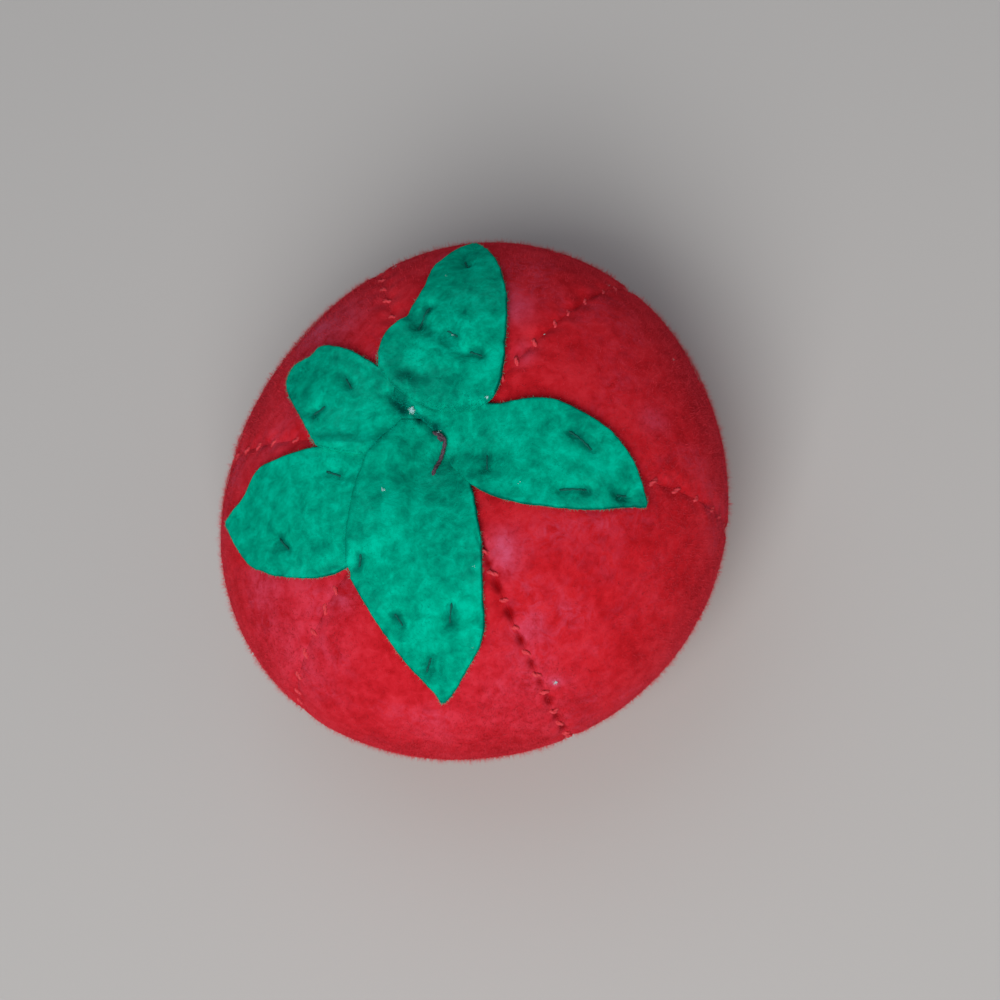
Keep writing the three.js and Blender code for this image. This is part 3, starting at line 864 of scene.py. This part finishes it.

# Darker places on the leaves: crown x and y, radius, strength. The five that follow the gap's
# line and the broad one on the top leaf are painted shade. The others are darker patches.
DARKER_SPOTS = [(0.6, 11.3, 1.1, 0.5), (4.5, 5.2, 0.8, 0.4), (15.2, 24.9, 1.6, 0.55),
          (5.8, 17.8, 1.3, 0.5), (-12.9, 2.1, 1.3, 0.35), (-13.2, 14.4, 0.8, 0.4),
          (-2.4, 9.2, 1.0, 0.8), (-2.1, 8.0, 1.3, 1.0), (-0.9, 5.6, 0.9, 0.8),
          (0.5, 3.5, 1.2, 0.9), (0.5, 1.8, 0.9, 0.6), (3.2, -5.7, 0.8, 0.3),
          (17.2, -9.9, 1.5, 0.35), (8.0, 13.5, 3.5, 0.45),
          (11.8, -14.5, 1.1, 0.3)]
# The gap where the leaves crowd together at the middle, as a line on the crown.
GAP = [(-2.8, 10.5), (-2.2, 8.7), (-1.2, 6.9), (-0.1, 4.7), (0.4, 2.2)]
GAP_DEPTH, GAP_WIDTH = 0.4, 0.75


def near_line(x, y, start, end):
    """Distance from points to a line between two points."""
    a, b = np.array(start), np.array(end)
    run = b - a
    t = np.clip(((x - a[0]) * run[0] + (y - a[1]) * run[1]) / (run @ run), 0, 1)
    return np.hypot(x - a[0] - t * run[0], y - a[1] - t * run[1])


def gap_share(x, y):
    """1 on the gap's line, fading to 0 beside it."""
    away = np.min([near_line(x, y, a, b) for a, b in zip(GAP, GAP[1:])], axis=0)
    return np.exp(-(away / GAP_WIDTH) ** 2)


def leaf_surface(name, along, across):
    """Height of a leaf's underside over the outline at pattern points."""
    leaf = LEAVES[name]
    x, y = crown_xy(leaf, along, across)
    height = read_map(rests[name], x, y) - dimple_depth(x, y) - GAP_DEPTH * gap_share(x, y)
    for start, end, depth, width in CREASES.get(name, ()):
        away = near_line(along, across, start, end)
        height = height - depth * np.exp(-(away / width) ** 2)
    for start, end in leaf["stitches"]:
        away = near_line(along, across, start, end)
        height = height - STITCH_GROOVE * np.exp(-(away / GROOVE_WIDTH) ** 2)
    return height


def leaf_points(name, along, across, over=0.0):
    x, y = crown_xy(LEAVES[name], along, across)
    height = leaf_surface(name, along, across) + over
    return body_point(np.hypot(x, y), np.arctan2(y, x), -height)


def distance_to_rim(leaf, along, across):
    share = np.linspace(0, 1, 160)
    loops = [leaf_place(leaf, share, 0 * share), leaf_place(leaf, 0 * share + 1, share),
             leaf_place(leaf, share[::-1], 0 * share + 1), leaf_place(leaf, 0 * share, 1 - share)]
    rim = np.concatenate([np.stack(side, axis=1) for side in loops])
    nearest = np.full(along.shape, 99.0)
    for start, end in zip(rim, np.roll(rim, -1, axis=0)):
        if np.hypot(*(end - start)) > 1e-6:
            nearest = np.minimum(nearest, near_line(along, across, start, end))
    return nearest


def lies_on_leaf(name, x, y):
    """1 where a leaf lies on another leaf, 0 where it lies on the red felt."""
    return np.clip((read_map(rests[name] - bare, x, y) - 0.35) / 0.4, 0, 1)


def leaf_shade(name, along, across, inside):
    """How much the leaf is darkened: painted shade in the gap and the crease, partly painted shade
    at the cut edge, and darker spots round its stitches and at listed places.
    """
    x, y = crown_xy(LEAVES[name], along, across)
    # Along the cut edge over the red felt: the cut fibre ends are darker, and the shade of the step
    # is painted.
    shade = 0.65 * (1 - lies_on_leaf(name, x, y)) * np.exp(-(inside / 0.25) ** 2)
    # Painted shade in the gap where the leaves crowd together.
    shade = np.maximum(shade, 0.55 * gap_share(x, y))
    # Listed darker spots: those along the gap and the broad one on the top leaf are painted shade.
    for cx, cy, radius, strength in DARKER_SPOTS:
        spot = np.exp(-((x - cx) ** 2 + (y - cy) ** 2) / radius ** 2)
        shade = np.maximum(shade, strength * spot)
    for start, end in LEAVES[name]["stitches"]:
        away = near_line(along, across, start, end)
        spot = STITCH_SHADE * np.exp(-(away / STITCH_SHADE_WIDTH) ** 2)
        shade = np.maximum(shade, spot)
    # Painted shade in the crease.
    for start, end, _, width in CREASES.get(name, ()):
        away = near_line(along, across, start, end)
        shade = np.maximum(shade, 0.45 * np.exp(-(away / width) ** 2))
    return shade


# %% Make the leaves
def leaf_piece(name):
    leaf = LEAVES[name]
    bm = flat_sheet(*LEAF_GRID)
    bmesh.ops.extrude_face_region(bm, geom=bm.faces[:], use_keep_orig=True)
    half = len(bm.verts) // 2
    flat = points_of(bm)
    v, u = crowd(flat[:, 0], LEAF_CROWDING), crowd(flat[:, 1], LEAF_CROWDING)
    along, across = leaf_place(leaf, u, v)
    inside = distance_to_rim(leaf, along, across)
    wobble = np.array([noise.noise(Vector((a * 0.9, c * 0.9, leaf["aim"] + 0.5)))
                       for a, c in zip(along, across)])
    near_rim = np.exp(-(inside / EDGE_REACH) ** 2)
    across = across + EDGE_WAVER * wobble * near_rim
    on_leaf = lies_on_leaf(name, *crown_xy(leaf, along, across))
    lift = EDGE_LIFT * near_rim * (1 - on_leaf) - EDGE_SINK * near_rim * on_leaf
    ripple = np.array([noise.noise(Vector((a * 0.22, c * 0.22, leaf["aim"] * 0.7)))
                       + 0.35 * noise.noise(Vector((a * 1.5, c * 1.5, 3.0)))
                       for a, c in zip(along, across)])
    share = np.clip(inside / (EDGE_ROUND + FEATHER * on_leaf), 0, 1)
    blunt = EDGE_BLUNT * (1 - 0.7 * on_leaf)
    swell = blunt + (1 - blunt) * np.sqrt(1 - (1 - share) ** 2)
    upper = np.arange(len(flat)) >= half
    thick = leaf_thickness(*crown_xy(leaf, along, across))
    free = thick / 2 * (1 + np.where(upper, 1, -1) * swell)
    matted = np.where(upper, thick * swell, 0)
    over = free * (1 - on_leaf) + matted * on_leaf
    lay(bm, leaf_points(name, along, across, over + lift + RIPPLE * ripple))
    # Painted shade and darker spots, stored as the 'pressed' attribute.
    mark(bm, "pressed", leaf_shade(name, along, across, inside))
    return finish_piece(bm, f"green_leaf_{name}", GREEN, [f"leaf_{name}"])


leaf_pieces = {name: leaf_piece(name) for name in LEAVES}


laid = [g.name for g in gores]
for name, leaf in LEAVES.items():
    laid.append(leaf_pieces[name].name)

# %% [markdown]
# ## Thread
# Sewing thread is two plies twisted round one another. `thread_piece` sweeps both plies along a
# path: each ply is a small ring, extruded from one point of the path to the next while it turns.

# %% Thread maker
PLY_SIDES = 6
TWIST_LENGTH = 1.7


def smooth_path(points, step):
    """Evenly spaced points on a smooth curve through points."""
    points = np.asarray(points, float)
    where = np.linspace(0, len(points) - 1, len(points) * 14)
    fine = np.stack([curve_through(points[:, i], where) for i in range(3)], axis=1)
    walked = np.concatenate([[0], np.cumsum(np.linalg.norm(np.diff(fine, axis=0), axis=1))])
    count = max(6, int(walked[-1] / step))
    at = np.linspace(0, walked[-1], count)
    return np.stack([np.interp(at, walked, fine[:, i]) for i in range(3)], axis=1), at


def match_ring(old, new):
    """The new ring in the old one's order: each new point is joined to the one it grew from."""
    fresh = set(new)
    ordered = []
    for vert in old:
        ordered.append(next(e.other_vert(vert) for e in vert.link_edges
                            if e.other_vert(vert) in fresh))
    return ordered


def sweep_ply(bm, path, at, radius, phase):
    ply_radius, orbit = 0.7 * radius, 0.33 * radius
    loop = bmesh.ops.create_circle(bm, cap_ends=False, radius=ply_radius,
                                   segments=PLY_SIDES)["verts"]
    ring_shape = [v.co.copy() for v in loop]
    edges = list({e for v in loop for e in v.link_edges})
    first, side = None, Vector((0, 0, 1))
    for i, point in enumerate(path):
        ahead = Vector(path[min(i + 1, len(path) - 1)] - path[max(i - 1, 0)]).normalized()
        side = (side - side.dot(ahead) * ahead).normalized()
        other = ahead.cross(side)
        turn = 2 * math.pi * at[i] / TWIST_LENGTH + phase
        centre = Vector(point) + orbit * (math.cos(turn) * side + math.sin(turn) * other)
        if i:
            grown = bmesh.ops.extrude_edge_only(bm, edges=edges)["geom"]
            new = [g for g in grown if isinstance(g, bmesh.types.BMVert)]
            edges = [g for g in grown if isinstance(g, bmesh.types.BMEdge)
                     and all(v in set(new) for v in g.verts)]
            loop = match_ring(loop, new)
        for vert, shape in zip(loop, ring_shape):
            vert.co = centre + shape.x * side + shape.y * other
        if first is None:
            first = list(loop)
    bmesh.ops.contextual_create(bm, geom=first)
    bmesh.ops.contextual_create(bm, geom=loop)


def thread_piece(name, points, radius, material, stands_for, step=0.22):
    bm = bmesh.new()
    path, at = smooth_path(points, step)
    path[:, 2] = np.maximum(path[:, 2], 1.2 * radius)
    for phase in (0.0, math.pi):
        sweep_ply(bm, path, at, radius, phase)
    return finish_piece(bm, name, material, stands_for)


# %% [markdown]
# ## Seam threads
# Each seam is sewn with one length of red thread. It comes up through one gore, crosses the join,
# goes down through the other, and runs along inside to the next stitch.

# %% Sew the seams
SEAM_THREAD = 0.3
BITE = 0.42                          # half the length of a stitch
DIVE, DIVE_DEPTH = 1.4, 1.3          # a stitch ends this many bites out, this deep
DEEPEST_CREST = 0.45                 # an open seam doesn't draw the thread deeper than this


def seam_thread(k):
    seam = FIRST_SEAM + k * GORE_TURN
    points = []
    for down in STITCHES[k]:
        radius = max(2.0, float(np.interp(down, DOWN, OUTLINE_R)))
        bite = min(BITE, 0.16 * radius) * rng.uniform(0.8, 1.15)
        slant = rng.uniform(0.1, 0.55)
        crest = 0.05 - 0.25 * OPENNESS[k]
        for share, sink in ((-DIVE, DIVE_DEPTH), (-1, 0.15), (0, crest), (1, 0.15),
                            (DIVE, DIVE_DEPTH)):
            at_down, at_turn = down + slant * share, seam + share * bite / radius
            top = float(felt_depth(np.array([at_down]), np.array([at_turn]))[0])
            if share == 0:
                top = min(top, DEEPEST_CREST)
            points.append(body_point(at_down, at_turn, top + sink))
    return thread_piece(f"red_seam_thread_{k + 1}", points, SEAM_THREAD, RED_THREAD,
                        [f"seam_thread_{k + 1}"])


seam_threads = [seam_thread(k) for k in range(GORES)]
print("seam threads:", [len(t.data.polygons) for t in seam_threads], "faces")

# %% [markdown]
# ## Leaf threads and the tuft
# A leaf is held by a few small stitches in dark green thread, which lie in their dimples. At the
# middle a brown-grey thread comes up, crosses over and goes down through the whole body to a
# knot underneath. That thread is what pulls the crown in.

# %% Sew on the leaves
LEAF_THREAD, TUFT_RADIUS = 0.15, 0.27


def leaf_thread(name):
    leaf = LEAVES[name]
    points = []
    for start, end in leaf["stitches"]:
        a, b = np.array(start), np.array(end)
        step = (b - a) / np.linalg.norm(b - a)
        for at, over in ((a - 0.5 * step, -1.0), (a - 0.1 * step, 0.0),
                         (a + 0.35 * (b - a), 0.0), (a + 0.65 * (b - a), 0.0),
                         (b + 0.1 * step, 0.0), (b + 0.5 * step, -1.0)):
            thick = float(leaf_thickness(*crown_xy(leaf, *at)))
            place = leaf_points(name, np.array([at[0]]), np.array([at[1]]), thick + over)
            points.append(place[0])
    return thread_piece(f"green_leaf_thread_{name}", points, LEAF_THREAD, GREEN_THREAD,
                        [f"leaf_thread_{name}"])


leaf_threads = [leaf_thread(name) for name in LEAVES]
print("leaf threads:", [len(t.data.polygons) for t in leaf_threads], "faces")

TUFT_WAY = [(0.0, 3.2, -0.9), (0.3, 2.5, 0.2), (0.75, 1.9, 0.45), (0.35, 1.5, 0.55),
            (0.3, 2.1, 0.6), (0.7, 1.2, 0.5), (-0.9, -0.3, 0.35), (-2.3, -1.6, 0.12),
            (-2.7, -2.1, -1.0)]


# Underneath, the thread is wound into a knot in the hollow of the base.
KNOT = [(0, 0, 3.2), (0.9, 0.1, 1.9), (0.1, 0.9, 1.5), (-0.9, 0, 1.6), (-0.1, -0.9, 1.8),
        (0.8, 0, 1.3), (0, 0.7, 1.0), (-0.7, -0.1, 1.2), (0.4, -0.5, 1.1), (2.2, -0.9, 1.4)]


def tuft_thread():
    points = []
    for x, y, over in TUFT_WAY:
        down, azimuth = math.hypot(x, y), math.atan2(y, x)
        height = float(read_map(stack, np.array([x]), np.array([y]))[0])
        height -= float(dimple_depth(np.array([x]), np.array([y]))[0])
        points.append(body_point(down, azimuth, -(height + over)))
    points += [(-1.2, -1.2, 33.0), (0, 0, 26.0), (0, 0, 12.0), *KNOT]
    return thread_piece("brown_tuft_thread", points, TUFT_RADIUS, BROWN_THREAD,
                        ["tuft_thread"])


tuft = tuft_thread()
print("tuft thread:", len(tuft.data.polygons), "faces")

# %% [markdown]
# ## Stuffing
# Polyester fibrefill is a loose, lumpy mass. It is hidden inside the felt and shows only where
# the gores gather under the base. A ball is shaped to the body, set back by the felt's thickness
# and roughened.

# %% Make the stuffing
FILL_DEPTH = 2.6


def stuffing_piece():
    bm = bmesh.new()
    bmesh.ops.create_icosphere(bm, subdivisions=5, radius=1.0)
    for vert in bm.verts:
        polar = math.acos(max(-1, min(1, vert.co.z)))
        down = polar / math.pi * LENGTH
        azimuth = math.atan2(vert.co.y, vert.co.x)
        lumps = 0.5 * noise.noise(vert.co * 9) + 0.35 * noise.noise(vert.co * 23)
        vert.co = body_point(down, azimuth, FILL_DEPTH + lumps)
    return finish_piece(bm, "fibrefill_core", FIBREFILL, ["stuffing"])


stuffing = stuffing_piece()
print("stuffing:", len(stuffing.data.polygons), "faces")

# %% [markdown]
# ## Fuzz
# Brushed felt is never clean edged. Most loose fibres lie along the felt and some stand off it,
# where they catch the light round the outline. Each fibre is a thin three-sided spike with a
# bend. One is made with the cone operator. Its points are then copied over the felt in one go,
# at random lengths and leans.

# %% One fibre, and many of them
FIBRE_RADIUS = 0.021


def fibre_shape():
    bm = bmesh.new()
    bmesh.ops.create_cone(bm, cap_ends=True, segments=3, radius1=1.0, radius2=0.0, depth=1.0)
    bmesh.ops.remove_doubles(bm, verts=bm.verts, dist=1e-6)
    bmesh.ops.translate(bm, vec=(0, 0, 0.5), verts=bm.verts)
    uprights = [e for e in bm.edges if abs(e.verts[0].co.z - e.verts[1].co.z) > 0.5]
    bmesh.ops.subdivide_edges(bm, edges=uprights, cuts=1)
    bmesh.ops.triangulate(bm, faces=bm.faces)
    mesh = bpy.data.meshes.new("fibre")
    bm.to_mesh(mesh)
    bm.free()
    points = np.array([v.co for v in mesh.vertices])
    faces = np.array([p.vertices[:] for p in mesh.polygons])
    bpy.data.meshes.remove(mesh)
    return points, faces


FIBRE_POINTS, FIBRE_FACES = fibre_shape()
print("one fibre:", len(FIBRE_FACES), "faces")


def unit(vectors):
    return vectors / np.linalg.norm(vectors, axis=1, keepdims=True)


def fuzz_piece(name, roots, normals, lengths, rise, material, radius=FIBRE_RADIUS):
    """Copies of the fibre on roots. rise is 0 for a fibre lying down, 1 for one standing up."""
    count = len(roots)
    aside = unit(np.cross(normals, rng.normal(0, 1, (count, 3))))
    upward = unit(aside * (1 - rise)[:, None] + normals * rise[:, None])
    side = unit(np.cross(upward, normals + 0.3 * rng.normal(0, 1, (count, 3))))
    other = np.cross(upward, side)
    bend = rng.uniform(-0.5, 0.5, count)
    z = FIBRE_POINTS[:, 2]
    points = (roots[:, None] + upward[:, None] * (z[None] * lengths[:, None])[..., None]
              + side[:, None] * (FIBRE_POINTS[None, :, 0] * radius
                                 + (bend * lengths)[:, None] * z[None] ** 2)[..., None]
              + other[:, None] * (FIBRE_POINTS[None, :, 1] * radius)[..., None])
    points[..., 2] = np.maximum(points[..., 2], 0.03)
    faces = FIBRE_FACES[None] + (np.arange(count) * len(FIBRE_POINTS))[:, None, None]
    mesh = bpy.data.meshes.new(name)
    placed = (points.reshape(-1, 3) + np.array(AXIS)) * MM
    mesh.from_pydata(placed, [], faces.reshape(-1, 3))
    mesh.materials.append(material)
    piece = bpy.data.objects.new(name, mesh)
    bpy.context.collection.objects.link(piece)
    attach(piece, "root")
    return piece


def mixed_rise(count, standing):
    """Mostly lying fibres, with a share that stand."""
    lying = rng.uniform(0.1, 0.3, count)
    return np.where(rng.uniform(0, 1, count) < standing, rng.uniform(0.35, 0.9, count), lying)


# %% Fuzz on the red felt
def body_fuzz(k, count):
    share, down = rng.uniform(0, 1, count), rng.uniform(6, LENGTH - 13, count)
    keep = rng.uniform(0, BODY_RADIUS, count) < np.interp(down, DOWN, OUTLINE_R)
    keep &= rng.uniform(0, 1, count) < 0.2 + 0.8 * np.clip((down - 22) / 12, 0, 1)
    azimuth = FIRST_SEAM + (k + share) * GORE_TURN
    x, y = down * np.cos(azimuth), down * np.sin(azimuth)
    inside = np.hypot(x, y) < MAP_HALF - 1
    keep &= ~((read_map(COVER.astype(float), x, y) > 0.3) & inside)
    down, azimuth = down[keep], azimuth[keep]
    roots = body_point(down, azimuth, felt_depth(down, azimuth) + 0.03)
    lengths = 0.2 + rng.uniform(0.25, 0.95, len(down)) ** 1.5
    return fuzz_piece(f"red_fuzz_{k + 1}", roots, body_normal(down, azimuth), lengths,
                      mixed_rise(len(down), 0.55), RED_NAP)


# Fibres tried for each gore. Of 30,000 about 17,000 are kept.
FUZZ_COUNT = 30000
fuzz = [body_fuzz(k, FUZZ_COUNT) for k in range(GORES)]
print("fuzz:", [len(f.data.polygons) for f in fuzz], "faces")


# %% Fuzz on the leaves
def leaf_fuzz(name, count):
    leaf = LEAVES[name]
    u, v = rng.uniform(0, 1, count), rng.uniform(0, 1, count)
    at_rim = rng.uniform(0, 1, count) < 0.3
    v = np.where(at_rim, np.round(v), v)
    along, across = leaf_place(leaf, u, v)
    x, y = crown_xy(leaf, along, across)
    hidden = read_map(stack, x, y) > read_map(rests[name], x, y) + 1.4 * leaf_thickness(x, y)
    along, across, x, y = along[~hidden], across[~hidden], x[~hidden], y[~hidden]
    depth = np.where(at_rim[~hidden], 0.4, 0.04)
    roots = leaf_points(name, along, across, leaf_thickness(x, y) - depth)
    normals = body_normal(np.hypot(x, y), np.arctan2(y, x))
    lengths = rng.uniform(0.15, 0.55, len(x))
    return fuzz_piece(f"green_fuzz_{name}", roots, normals, lengths,
                      mixed_rise(len(x), 0.12), GREEN_NAP)


LEAF_FUZZ_COUNT = 3500
leaf_fuzzes = [leaf_fuzz(name, LEAF_FUZZ_COUNT) for name in LEAVES]
print("leaf fuzz:", [len(f.data.polygons) for f in leaf_fuzzes], "faces")

# %% [markdown]
# ## Lint
# Small wisps of pale fibre have caught on the felt, most of them by the stitches. Each is a
# tangle of a few curled fibres.

# %% Wisps of lint
WISPS = [(-1.2, 7.1, 0.26, 110), (8.5, 2.7, 0.13, 30), (-9.4, -1.7, 0.16, 36),
         (-2.4, -35.2, 0.22, 20), (32.7, 14.9, 0.3, 8), (6.9, 34.2, 0.3, 8), (0.5, 2.6, 0.25, 10)]


def lint_piece():
    spots = list(WISPS)
    for _ in range(9):
        down, azimuth = rng.uniform(10, 44), rng.uniform(0, 2 * math.pi)
        spots.append((down * math.cos(azimuth), down * math.sin(azimuth), 0.16, 3))
    roots, normals, lengths = [], [], []
    for x, y, size, count in spots:
        at_x, at_y = x + rng.normal(0, size, count) * 0.6, y + rng.normal(0, size, count) * 0.6
        down, azimuth = np.hypot(at_x, at_y), np.arctan2(at_y, at_x)
        over = np.where(down < MAP_HALF - 1, read_map(stack, at_x, at_y) - dimple_depth(at_x, at_y),
                        -felt_depth(down, azimuth))
        roots.append(body_point(down, azimuth, -over - 0.05))
        normals.append(body_normal(down, azimuth))
        lengths.append(size * rng.uniform(0.7, 1.6, count))
    roots, normals, lengths = (np.concatenate(part) for part in (roots, normals, lengths))
    return fuzz_piece("pale_lint", roots, normals, lengths, mixed_rise(len(roots), 0.3), LINT,
                      radius=0.035)


lint = lint_piece()
print("lint:", len(lint.data.polygons), "faces")

# %% [markdown]
# ## Floor and light
# The floor is plain and pale. The light is soft, like a window on the near side and a little to
# the left, with weak light from the far side and the right, so that the shade keeps its colour.

# %% Floor
FLOOR_HALF = 3.0


def floor_material():
    material = bpy.data.materials.new("floor")
    material.use_nodes = True
    shader = material.node_tree.nodes["Principled BSDF"]
    shader.inputs["Base Color"].default_value = (0.5, 0.49, 0.475, 1)
    shader.inputs["Roughness"].default_value = 0.8
    return material


floor_mesh = bmesh.new()
bmesh.ops.create_grid(floor_mesh, x_segments=1, y_segments=1, size=FLOOR_HALF)
floor_data = bpy.data.meshes.new("floor")
floor_mesh.to_mesh(floor_data)
floor_mesh.free()
floor_data.materials.append(floor_material())
floor = bpy.data.objects.new("floor", floor_data)
bpy.context.collection.objects.link(floor)


# %% Lights
def soft_light(name, towards, distance, size, power, colour):
    """A square soft light, placed in a direction given as right, up and out of the picture."""
    right, up, out = towards
    way = (right * picture_right + up * picture_up + out * forward).normalized()
    lamp = bpy.data.objects.new(name, bpy.data.lights.new(name, "AREA"))
    lamp.data.size = size
    lamp.data.energy = power
    lamp.data.color = colour
    lamp.location = way * distance
    lamp.rotation_euler = way.to_track_quat("Z", "Y").to_euler()
    bpy.context.collection.objects.link(lamp)
    return lamp


soft_light("window", (-0.18, -0.42, 1.0), 0.9, 0.6, 7.4, (1.0, 0.985, 0.97))
soft_light("sky", (-0.45, 0.8, 0.7), 1.2, 1.0, 1.7, (0.84, 0.88, 1.0))
soft_light("lamp", (0.9, 0.2, 0.6), 1.2, 1.0, 0.6, (1.0, 0.9, 0.8))
world = bpy.data.worlds.new("room")
world.use_nodes = True
world.node_tree.nodes["Background"].inputs["Color"].default_value = (0.9, 0.93, 1.0, 1)
world.node_tree.nodes["Background"].inputs["Strength"].default_value = 0.2
bpy.context.scene.world = world
bpy.context.scene.view_settings.view_transform = "Standard"
